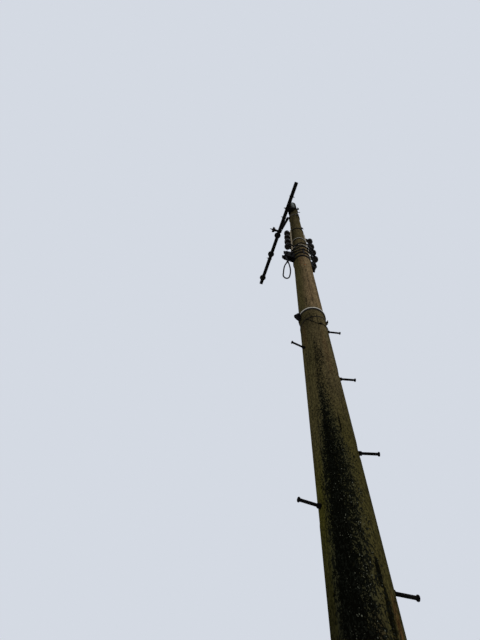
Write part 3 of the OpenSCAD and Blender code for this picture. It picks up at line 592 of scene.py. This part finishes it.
# old steel: nearly black below and at the sides, with dusty rust on what faces up
steelSet = {
    "black": (0.0012, 0.0012, 0.0014),
    "worn": (0.0045, 0.0042, 0.0040),
    "rust": (0.045, 0.018, 0.008),
    "rustShare": 0.22,
    "dust": (0.045, 0.038, 0.031),
    "rustDust": (0.085, 0.045, 0.024),
    "dustShare": 0.8,
    "softNoise": (18.0, 1.0, 5, 0.6),
    "fineNoise": (160.0, 1.0, 4, 0.7),
    "wornPlaces": (0.4, 0.65),
    "rustPlaces": (0.55, 0.72),
    "dustPlaces": (0.35, 0.65),
    "facesUp": (0.35, 0.9),
    "roughness": (0.3, 0.7, 0.55, 0.85),
    "specular": 0.03,
    "reliefDepth": 0.0005,
    "reliefStrength": 0.5,
}


def steelFinish(name, rust=steelSet["rust"], rustShare=steelSet["rustShare"]):
    c = steelSet
    finish = newMaterial(name)
    place = objectPlace(finish)
    soft = noiseOf(finish, place, *c["softNoise"])
    fine = noiseOf(finish, place, *c["fineNoise"])
    base = mixColours(finish, mapStep(finish, soft, *c["wornPlaces"]), c["black"], c["worn"])
    base = mixColours(finish, mapStep(finish, fine, *c["rustPlaces"], 0.0, rustShare), base, rust)
    dusty = mixColours(finish, mapStep(finish, soft, *c["dustPlaces"]), c["dust"], c["rustDust"])
    upward = slopeShare(finish, *c["facesUp"])
    base = mixColours(finish, times(finish, upward, c["dustShare"]), base, dusty)
    roughness = straightStep(finish, fine, *c["roughness"])
    bumps = bumpOf(finish, fine, c["reliefDepth"], c["reliefStrength"])
    setShader(finish, colour=base, roughness=roughness, specular=c["specular"], normal=bumps)
    return finish


# brown glaze with a little dust
glazeSet = {
    "dark": (0.0024, 0.0014, 0.0011),
    "light": (0.0062, 0.0031, 0.0021),
    "dust": (0.020, 0.013, 0.009),
    "softNoise": (30.0, 1.0, 4, 0.55),
    "dustNoise": (90.0, 0.5, 4, 0.65),
    "lightPlaces": (0.35, 0.65),
    "dustPlaces": (0.52, 0.72, 0.0, 0.3),
    "roughness": (0.4, 0.7, 0.16, 0.42),
    "specular": 0.07,
}


def glazeFinish():
    c = glazeSet
    finish = newMaterial("brownGlaze")
    place = objectPlace(finish)
    soft = noiseOf(finish, place, *c["softNoise"])
    dust = noiseOf(finish, place, *c["dustNoise"])
    base = mixColours(finish, mapStep(finish, soft, *c["lightPlaces"]), c["dark"], c["light"])
    base = mixColours(finish, mapStep(finish, dust, *c["dustPlaces"]), base, c["dust"])
    roughness = straightStep(finish, dust, *c["roughness"])
    setShader(finish, colour=base, roughness=roughness, specular=c["specular"])
    return finish


# black cable with dust on top
jacketSet = {
    "black": (0.0010, 0.0010, 0.0013),
    "faded": (0.0040, 0.0039, 0.0040),
    "dust": (0.030, 0.029, 0.027),
    "dustShare": 0.5,
    "dustNoise": (40.0, 1.0, 4, 0.6),
    "fadedPlaces": (0.4, 0.7),
    "facesUp": (0.2, 0.9),
    "roughness": (0.3, 0.7, 0.45, 0.65),
    "specular": 0.04,
}


def jacketFinish():
    c = jacketSet
    finish = newMaterial("cableJacket")
    dust = noiseOf(finish, objectPlace(finish), *c["dustNoise"])
    base = mixColours(finish, mapStep(finish, dust, *c["fadedPlaces"]), c["black"], c["faded"])
    upward = slopeShare(finish, *c["facesUp"])
    base = mixColours(finish, times(finish, upward, c["dustShare"]), base, c["dust"])
    roughness = straightStep(finish, dust, *c["roughness"])
    setShader(finish, colour=base, roughness=roughness, specular=c["specular"])
    return finish


finishes = {
    "concrete": concreteFinish(),
    "galvanised_steel": zincFinish("dullGalvanised"),
    "weathered_steel": steelFinish("weatheredSteel"),
    "porcelain": glazeFinish(),
    "cable_jacket": jacketFinish(),
}

# the thin strap is redder than the other steel, and each pale band has its own shade line
special = {
    "messenger_band_lower": steelFinish("rustyStrap", rust=(0.085, 0.026, 0.010), rustShare=0.7),
    "messenger_band_upper": zincFinish("paleBandLow", pale=(0.62, 0.60, 0.54), split=5.589),
    "rack_band_middle": zincFinish("paleBandMiddle", split=8.580),
    "rack_band_bottom": zincFinish("paleBandBottom", pale=(0.50, 0.49, 0.44), split=8.140),
    "left_rack": zincFinish("tanRack", pale=(0.36, 0.30, 0.20)),
    "arm_tie_band": zincFinish("dirtyBand", pale=(0.080, 0.066, 0.043), reach=0.0135),
}


def finishNodes():
    for part in frame["record"]["subparts"]:
        thing = nodes[part["node"]]
        thing.data.materials.clear()
        thing.data.materials.append(special.get(part["node"], finishes[part["material_slot"]]))


finishNodes()
print("materials on the fixed pieces")


# shapes are drawn upright at the origin, then copied to their places
sideways = Matrix.Rotation(math.radians(90), 4, "Y")  # turns an upright shape to point along +X
drawnWeld = 0.000002
fixedWeld = 0.00001


def startEdit():
    bpy.ops.object.mode_set(mode="EDIT")
    bpy.ops.mesh.select_all(action="SELECT")


def endEdit():
    bpy.ops.object.mode_set(mode="OBJECT")


def selectOnly(*things):
    deselectAll()
    for thing in things:
        thing.select_set(True)
    bpy.context.view_layer.objects.active = things[0]


# a ring is drawn out step by step, each step a radius and a height in millimetres
def latheShape(name, sides, steps, closed=False):
    deselectAll()
    last = steps[0]
    bpy.ops.mesh.primitive_circle_add(vertices=sides, radius=last[0] / 1000, fill_type="NOTHING")
    piece = bpy.context.object
    piece.name = name
    startEdit()
    bpy.ops.transform.translate(value=(0, 0, last[1] / 1000))
    for step in steps[1:] + ([steps[0]] if closed else []):
        rise = (step[1] - last[1]) / 1000
        bpy.ops.mesh.extrude_region_move(TRANSFORM_OT_translate={"value": (0, 0, rise)})
        grow = step[0] / last[0]
        bpy.ops.transform.resize(value=(grow, grow, 1), center_override=(0, 0, step[1] / 1000))
        last = step
    bpy.ops.mesh.select_all(action="SELECT")
    bpy.ops.mesh.remove_doubles(threshold=drawnWeld)
    if not closed:
        bpy.ops.mesh.fill_holes(sides=0)
    bpy.ops.mesh.select_all(action="SELECT")
    bpy.ops.mesh.normals_make_consistent(inside=False)
    endEdit()
    return piece


def smoothShade(piece, angle):
    selectOnly(piece)
    bpy.ops.object.shade_smooth_by_angle(angle=math.radians(angle))


def copyTo(model, name, place):
    selectOnly(model)
    bpy.ops.object.duplicate(linked=False)
    made = bpy.context.object
    made.name = name
    made.matrix_world = place
    bpy.ops.object.transform_apply(location=True, rotation=True, scale=True)
    return made


def joinShapes(shapes, name):
    selectOnly(*shapes)
    bpy.ops.object.join()
    joined = bpy.context.object
    joined.name = name
    return joined


def settle(piece, slot, *stoodFor, finish=None):
    piece.data.materials.clear()
    piece.data.materials.append(finish or finishes[slot])
    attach(piece, "root")
    if stoodFor:
        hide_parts(*stoodFor)


# the same form as a fixed piece, welded and smoothly shaded
def smoothCopy(node, slot, angle):
    made = copyTo(nodes[node], node + "_smooth", Matrix.Identity(4))
    startEdit()
    bpy.ops.mesh.remove_doubles(threshold=fixedWeld)
    endEdit()
    smoothShade(made, angle)
    settle(made, slot, node)


# a point between b and c on a smooth curve through a, b, c and d
def bendPoint(a, b, c, d, t):
    bend = 2 * a - 5 * b + 4 * c - d
    twist = 3 * b - a - 3 * c + d
    return 0.5 * (2 * b + (c - a) * t + bend * t * t + twist * t * t * t)


def smoothPath(points, parts):
    points = [Vector(point) for point in points]
    last = len(points) - 1
    path = []
    for i in range(last):
        before, after = points[max(i - 1, 0)], points[min(i + 2, last)]
        path += [bendPoint(before, points[i], points[i + 1], after, k / parts) for k in range(parts)]
    return path + [points[last]]


# a round wire or cable along a list of points
def wireAlong(name, path, radius, sides, loop=False):
    line = bpy.data.curves.new(name, "CURVE")
    line.dimensions = "3D"
    run = line.splines.new("POLY")
    run.points.add(len(path) - 1)
    for spot, point in zip(run.points, path):
        spot.co = (*point, 1)
    run.use_cyclic_u = loop
    line.bevel_depth = radius
    line.bevel_resolution = sides // 4 - 1
    line.use_fill_caps = not loop
    piece = bpy.data.objects.new(name, line)
    bpy.context.collection.objects.link(piece)
    selectOnly(piece)
    bpy.ops.object.convert(target="MESH")
    made = bpy.context.object
    smoothShade(made, 50)
    return made


# a point at a distance along a path, and the way the path runs there
def alongPath(path, distance):
    for a, b in zip(path, path[1:]):
        step = (b - a).length
        if distance <= step:
            return a + (b - a) * distance / step, (b - a).normalized()
        distance -= step
    return path[-1], (path[-1] - path[-2]).normalized()


def pathLength(path):
    return sum((b - a).length for a, b in zip(path, path[1:]))


# binding wire wound round a cable, as a list of points, twelve to a turn
def windingPath(path, start, turns, pitch, reach):
    slanted = Vector((0.13, 0.21, 0.97))
    points = []
    for i in range(turns * 12 + 1):
        spot, way = alongPath(path, start + i * pitch / 12)
        side = way.cross(slanted).normalized()
        turn = math.radians(30 * i)
        points.append(spot + reach * (math.cos(turn) * side + math.sin(turn) * way.cross(side)))
    return points


# the loop of spare cable hangs from the foot of the left clamp and crosses itself once; the route is in
# millimetres from the pole's axis and from the top of the loop
loopSet = {
    "top": 7.595,
    "radius": 0.010,
    "length": 1.309,
    "route": [
        (-226, 13, -0.3), (-227, 13, -40), (-234, 13, -105), (-247, 12, -170), (-260, 12, -226),
        (-272, 12, -282), (-283, 14, -337), (-291, 19.4, -388), (-295, 29.4, -435), (-295.5, 42.4, -475),
        (-294, 57, -508), (-291.5, 71.5, -534),
        (-290, 86, -556), (-283.4, 100.7, -575.6), (-265.5, 111.5, -589.9), (-241, 115.4, -595.2),
        (-216.5, 111.5, -589.9), (-198.6, 100.7, -575.6), (-192, 86, -556),
        (-190.5, 71.5, -534), (-190, 57, -508), (-191.5, 42.4, -475), (-195.5, 29.4, -435),
        (-202, 18.5, -388), (-209.5, 10.5, -337), (-218.5, 4, -287), (-230, -3, -237), (-245, -11, -175),
        (-258, -13, -105), (-262, -13, -40), (-262, -13, -0.3),
    ],
    "tieX": -0.246,
    "tieDrop": 0.172,
    "tieGap": 0.012,
    "tiePlay": 0.0006,
    "tieWire": 0.0022,
    "tieStep": 0.005,
}


# one turn of wire that holds the two runs together where they cross
def tieRing(z):
    s = loopSet
    reach = s["radius"] + s["tieWire"] + s["tiePlay"]
    ring = []
    for i in range(24):
        turn = math.radians(15 * i)
        gap = math.copysign(s["tieGap"], math.sin(turn))
        ring.append(Vector((s["tieX"] + reach * math.cos(turn), reach * math.sin(turn) + gap, z)))
    return wireAlong("tie", ring, s["tieWire"], 8, True)


def addSlackLoop():
    s = loopSet
    path = smoothPath([(x / 1000, y / 1000, s["top"] + z / 1000) for x, y, z in s["route"]], 4)
    cable = wireAlong("slack_cable", path, s["radius"], 20)
    heights = [s["top"] - s["tieDrop"] + s["tieStep"] * k for k in (-1, 0, 1)]
    tie = joinShapes([tieRing(z) for z in heights], "slack_cable_tie")
    settle(cable, "cable_jacket", "slack_loop")
    settle(tie, "weathered_steel")
    print("slack loop:", round(pathLength(path), 3), "m of cable")


addSlackLoop()

# three cables that run from the left rack and clamp round the front of the pole to the right ones; each
# binding is its distance from a cable's start, or from its end where it is negative
jumperSet = {
    "radius": 0.010,
    "off": 0.0243,
    "leftSpool": 8.251,
    "rightSpools": (8.356, 7.999),
    "leftReach": 0.098,
    "rightReach": 0.128,
    "leftClamp": 7.720,
    "rightClamp": 7.550,
    "clampHalf": 0.125,
    "gripReach": 0.058,
    "grooveWrap": 0.0456,
    "bindings": ((0.225, -0.215), (0.075, -0.215), (0.050, -0.075)),
    "bindingWire": 0.0018,
    "bindingTurns": 8,
    "bindingPitch": 2.1,
    "bindingReach": 0.9,
}


def inGroove(x, z, turn, shift=(0, 0, 0)):
    reach = jumperSet["grooveWrap"]
    turn = math.radians(turn)
    return Vector((x + reach * math.cos(turn), reach * math.sin(turn), z)) + Vector(shift)


def jumperRoutes():
    s = jumperSet
    off = s["off"]
    leftZ, clampZ = s["leftSpool"], s["leftClamp"]
    leftX = -(poleRadius(leftZ) + s["leftReach"])
    upper, lower = [(poleRadius(z) + s["rightReach"], z) for z in s["rightSpools"]]
    leftTop, rightTop = clampZ + s["clampHalf"], s["rightClamp"] + s["clampHalf"]
    leftGrip = -(poleRadius(clampZ) + s["gripReach"])
    rightGrip = poleRadius(s["rightClamp"]) + s["gripReach"]
    first = [inGroove(leftX, leftZ, turn) for turn in range(60, 241, 30)] + [
        inGroove(leftX, leftZ, 262, (0, -0.003, -0.004)), (leftX + 0.030, -0.066, leftZ - 0.070),
        polePoint(leftZ - 0.141, 207, off + 0.014), polePoint(leftZ - 0.121, 224, off),
        polePoint(leftZ - 0.079, 240, off), polePoint(leftZ - 0.046, 260, off),
        polePoint(leftZ - 0.041, 282, off), polePoint(leftZ, 302, off + 0.012),
        inGroove(*upper, -100, (-0.022, -0.012, -0.008)),
    ] + [inGroove(*upper, turn) for turn in range(-75, 106, 30)]
    second = [
        (leftGrip, -0.012, leftTop + 0.0003), (leftGrip, -0.016, leftTop + 0.020),
        (leftGrip + 0.008, -0.042, leftTop + 0.046), polePoint(leftTop + 0.060, 212, off + 0.012),
        polePoint(leftTop + 0.090, 226, off), polePoint(leftTop + 0.130, 245, off),
        polePoint(leftTop + 0.145, 265, off), polePoint(leftTop + 0.153, 285, off),
        polePoint(lower[1], 304, off + 0.010), inGroove(*lower, -100, (-0.022, -0.012, 0)),
    ] + [inGroove(*lower, turn) for turn in range(-75, 106, 30)]
    third = [
        (leftGrip, -0.0523, clampZ), (leftGrip + 0.002, -0.066, clampZ),
        polePoint(clampZ + 0.035, 218, off + 0.014), polePoint(clampZ + 0.070, 232, off),
        polePoint(clampZ + 0.092, 250, off), polePoint(clampZ + 0.095, 270, off),
        polePoint(clampZ + 0.092, 288, off), polePoint(clampZ + 0.080, 306, off + 0.006),
        polePoint(clampZ + 0.050, 325, off + 0.020), (rightGrip - 0.004, -0.034, rightTop + 0.048),
        (rightGrip, -0.016, rightTop + 0.018), (rightGrip, -0.014, rightTop + 0.0003),
    ]
    return [smoothPath(route, 6) for route in (first, second, third)]


def addJumpers():
    s = jumperSet
    wire = s["bindingWire"]
    for i, path in enumerate(jumperRoutes()):
        number = str(i + 1)
        cable = wireAlong("jumper_" + number, path, s["radius"], 20)
        settle(cable, "cable_jacket", "jumper_cable_" + number)
        wound = []
        for start in s["bindings"][i]:
            start = start if start > 0 else pathLength(path) + start
            reach = s["radius"] + wire * s["bindingReach"]
            turns = windingPath(path, start, s["bindingTurns"], s["bindingPitch"] * wire, reach)
            wound.append(wireAlong("binding", turns, wire, 8))
        settle(joinShapes(wound, "jumper_binding_" + number), "weathered_steel")


addJumpers()
print("cables and their bindings done")

# screwed steps: a shank with a rolled thread and ribs, a nut and a round head. The places are heights in
# metres and turns, and the rest is in millimetres, with heights along the shank
stepSet = {
    "right": ((1.817, -10), (2.697, -6), (3.577, -18), (4.457, -15), (5.337, -12)),
    "left": ((2.218, 183), (3.098, 182), (4.858, 188)),
    "shankRadius": 10,
    "threadRoot": 8.9,
    "threadEnd": 46,
    "threadPitch": 3.2,
    "plainRadius": 9.7,
    "ribStart": 56,
    "ribPitch": 7.0,
    "ribEnd": 124,
    "head": [
        (9.6, 127), (10.4, 129.4), (12.4, 130.2), (14.4, 131.8), (15.5, 134.2), (15.5, 138.4),
        (14.9, 140.4), (13.2, 141.9), (10.8, 142.7), (6.0, 143.0),
    ],
    "nutRadius": 16.4,
    "nutLength": 23.0,
    "nutChamfer": 0.87,
}


def stepShape():
    s = stepSet
    full, root, plain, nutEnd = s["shankRadius"], s["threadRoot"], s["plainRadius"], s["nutLength"]
    steps = [(8.6, -27.7), (full, -26.2), (full, nutEnd + 1)]
    z = nutEnd + 2
    while z < s["threadEnd"]:
        steps += [(root, z), (root, z + 0.5), (full, z + 1.6), (full, z + 2.0)]
        z += s["threadPitch"]
    steps += [(plain, s["threadEnd"] + 2), (plain, s["ribStart"])]
    z = s["ribStart"]
    while z < s["ribEnd"]:
        steps += [(plain, z + 2.2), (full, z + 3.0), (full, z + 4.4), (plain, z + 5.2)]
        z += s["ribPitch"]
    shank = latheShape("shank", 36, steps + s["head"])
    r, small = s["nutRadius"], s["nutRadius"] * s["nutChamfer"]
    nut = latheShape("nut", 6, [(small, 0.3), (r, 2.0), (r, nutEnd - 1.7), (small, nutEnd)])
    return joinShapes([shank, nut], "step_model")


def addSteps():
    model = stepShape()
    smoothShade(model, 34)
    for side in ("right", "left"):
        for i, (z, turn) in enumerate(stepSet[side]):
            node = "step_bolt_" + side + "_" + str(i + 1)
            made = copyTo(model, node + "_screwed", polePlace(z, turn) @ sideways)
            settle(made, "weathered_steel", node)
    bpy.data.objects.remove(model)


addSteps()
print("steps done")

# glazed spools on the two racks; the racks lean with the pole's taper. The spools are in millimetres
rackSet = {
    "top": 9.390,
    "tail": 0.175,
    "left": {"turn": 180, "reach": 0.098, "heights": (9.130, 8.837, 8.544, 8.251)},
    "right": {"turn": 0, "reach": 0.128, "heights": (9.070, 8.713, 8.356, 7.999)},
}
spoolSet = {"radius": 52, "half": 48, "bore": 8.5, "grooveRadius": 21, "grooveCentre": 56, "sides": 64}


def rackPlace(side, z):
    s = rackSet[side]
    middle = (rackSet["top"] + s["heights"][3] - rackSet["tail"]) / 2
    lean = Matrix.Rotation(-math.atan(pole["taper"]), 4, "Y")
    return polePlace(middle, s["turn"]) @ lean @ Matrix.Translation((s["reach"], 0, z - middle))


def spoolShape():
    s = spoolSet
    top, r = s["half"], s["radius"]
    rim = [
        (s["bore"], top - 1), (s["bore"] + 1, top), (r - 22, top), (r - 20, top - 0.8), (r - 16, top - 0.6),
        (r - 12, top - 1.2), (r - 9, top - 3), (r - 3, top - 9), (r - 0.8, top - 12.5), (r, top - 16),
        (r, top - 23), (r - 1, top - 26.2),
    ]
    groove = []
    for turn in range(75, -76, -10):
        x = s["grooveCentre"] - s["grooveRadius"] * math.cos(math.radians(turn))
        groove.append((x, s["grooveRadius"] * math.sin(math.radians(turn))))
    foot = [(x, -z) for x, z in reversed(rim)]
    return latheShape("spool_model", s["sides"], rim + groove + foot, closed=True)


def addSpools():
    model = spoolShape()
    smoothShade(model, 40)
    for side in ("left", "right"):
        for i, z in enumerate(rackSet[side]["heights"]):
            node = side + "_spool_" + str(i + 1)
            made = copyTo(model, node + "_glazed", rackPlace(side, z))
            settle(made, "porcelain", node)
    bpy.data.objects.remove(model)


addSpools()
for node in ("pin_insulator_1", "pin_insulator_2", "pin_insulator_3", "strain_insulator"):
    smoothCopy(node, "porcelain", 40)
print("porcelain done")

# a thin wire hooked over the lower strap sags across the front of the pole to the highest right step. Its
# start is height, turn and distance off the pole, and its run is turn and height
frontWireSet = {
    "radius": 0.0034,
    "off": 0.0046,
    "start": ((5.366, 214.5, 0.0036), (5.386, 215.5, 0.0048), (5.384, 216.2, 0.0096), (5.368, 216.6, 0.0098)),
    "run": (
        (217, 5.352), (223, 5.346), (232, 5.306), (243, 5.267), (257, 5.230), (266, 5.227), (276, 5.234),
        (291, 5.245), (314, 5.268), (330, 5.294),
    ),
    "knotPlace": (5.23, 266),
    "knotFrom": 0.1,
    "knotSearch": 0.004,
    "knotTurns": 6,
    "knotPitch": 0.0056,
    "knotReach": 1.9,
    "hookPlace": (5.337, 348),
    "hookReach": 0.0128,
    "hookOff": 0.0225,
    "hookSpread": 0.0016,
}


def frontWirePath():
    s = frontWireSet
    start = [polePoint(*spot) for spot in s["start"]]
    run = [polePoint(z, turn, s["off"]) for turn, z in s["run"]]
    place = polePlace(*s["hookPlace"])
    hook = []
    for turn in range(-150, 151, 30):  # once over the shank, outside the nut
        off = s["hookOff"] + s["hookSpread"] * turn / 150
        angle = math.radians(turn + 60)
        spot = (off, -s["hookReach"] * math.cos(angle), s["hookReach"] * math.sin(angle))
        hook.append(place @ Vector(spot))
    return smoothPath(start + run + hook, 4)


def addFrontWire():
    s = frontWireSet
    path = frontWirePath()
    wire = wireAlong("front_wire", path, s["radius"], 12)
    knotX = polePoint(*s["knotPlace"]).x
    start = 0.0
    while start < s["knotFrom"] or alongPath(path, start)[0].x < knotX:
        start += s["knotSearch"]
    turns = windingPath(path, start, s["knotTurns"], s["knotPitch"], s["radius"] * s["knotReach"])
    knot = wireAlong("knot", turns, s["radius"], 10)
    settle(joinShapes([wire, knot], "front_wire"), "weathered_steel")


addFrontWire()

# a tap on the lowest jumper: a small clamp with a bolt, and a cut length of cable with a cap. The bolt, nut
# and cap are in millimetres
tapSet = {
    "place": (7.8145, 263, 0.0243),
    "bodySize": (0.026, 0.044, 0.040),
    "bodyBevel": 0.005,
    "bolt": [(3.6, -2), (3.6, 14), (4, 15), (4, 22), (3.2, 23)],
    "nut": [(6.6, 13), (7.6, 14), (7.6, 18.5), (6.6, 19.5)],
    "boltPlace": (0, 0.012, -0.006),
    "stubRadius": 0.009,
    "stub": (
        (0.001, -0.010, 0.012), (0.001, -0.010, -0.03), (0.000, -0.009, -0.09), (0.001, -0.006, -0.15),
        (0.002, -0.004, -0.235),
    ),
    "cap": [(8.6, 30), (10.6, 29), (10.8, 4), (9.6, 1), (6, -0.5)],
}


def tapShape():
    s = tapSet
    deselectAll()
    bpy.ops.mesh.primitive_cube_add(size=1)
    body = bpy.context.object
    body.scale = s["bodySize"]
    bpy.ops.object.transform_apply(location=False, rotation=False, scale=True)
    startEdit()
    bpy.ops.mesh.bevel(offset=s["bodyBevel"], segments=3, affect="EDGES")
    endEdit()
    bolt = latheShape("bolt", 20, s["bolt"])
    nut = latheShape("nut", 6, s["nut"])
    for thing in (bolt, nut):
        thing.matrix_world = Matrix.Translation(s["boltPlace"]) @ sideways
    selectOnly(bolt, nut)
    bpy.ops.object.transform_apply(location=True, rotation=True, scale=True)
    clamp = joinShapes([body, bolt, nut], "tap_model")
    smoothShade(clamp, 34)
    return clamp


def addTap():
    s = tapSet
    place = polePlace(*s["place"])
    clamp = tapShape()
    made = copyTo(clamp, "cable_tap", place)
    bpy.data.objects.remove(clamp)
    settle(made, "weathered_steel")
    path = smoothPath([place @ Vector(point) for point in s["stub"]], 6)
    stub = wireAlong("cable_stub", path, s["stubRadius"], 20)
    cap = latheShape("cap", 24, s["cap"])
    smoothShade(cap, 40)
    end = copyTo(cap, "stub_cap", Matrix.Translation(path[-1]))
    bpy.data.objects.remove(cap)
    settle(joinShapes([stub, end], "cable_stub"), "cable_jacket")


addTap()

# the dull end of the bolt in the tie band's boss, in millimetres
bossSet = {
    "place": (10.6, 288, 0.0303),
    "tip": [(7.2, -3), (7.2, 6.5), (6.2, 8)],
    "rim": [(13.2, -0.6), (13.2, 1.0), (11.6, 2.2), (8.2, 2.4)],
    "pale": (0.42, 0.39, 0.30),
    "reach": 0.2,
}


def addBossTip():
    s = bossSet
    both = joinShapes([latheShape(name, 24, s[name]) for name in ("tip", "rim")], "tip_model")
    smoothShade(both, 35)
    made = copyTo(both, "boss_bolt_tip", polePlace(*s["place"]) @ sideways)
    bpy.data.objects.remove(both)
    settle(made, "galvanised_steel", finish=zincFinish("dullTip", pale=s["pale"], reach=s["reach"]))


addBossTip()
print("front wire, tap and bolt tip done")
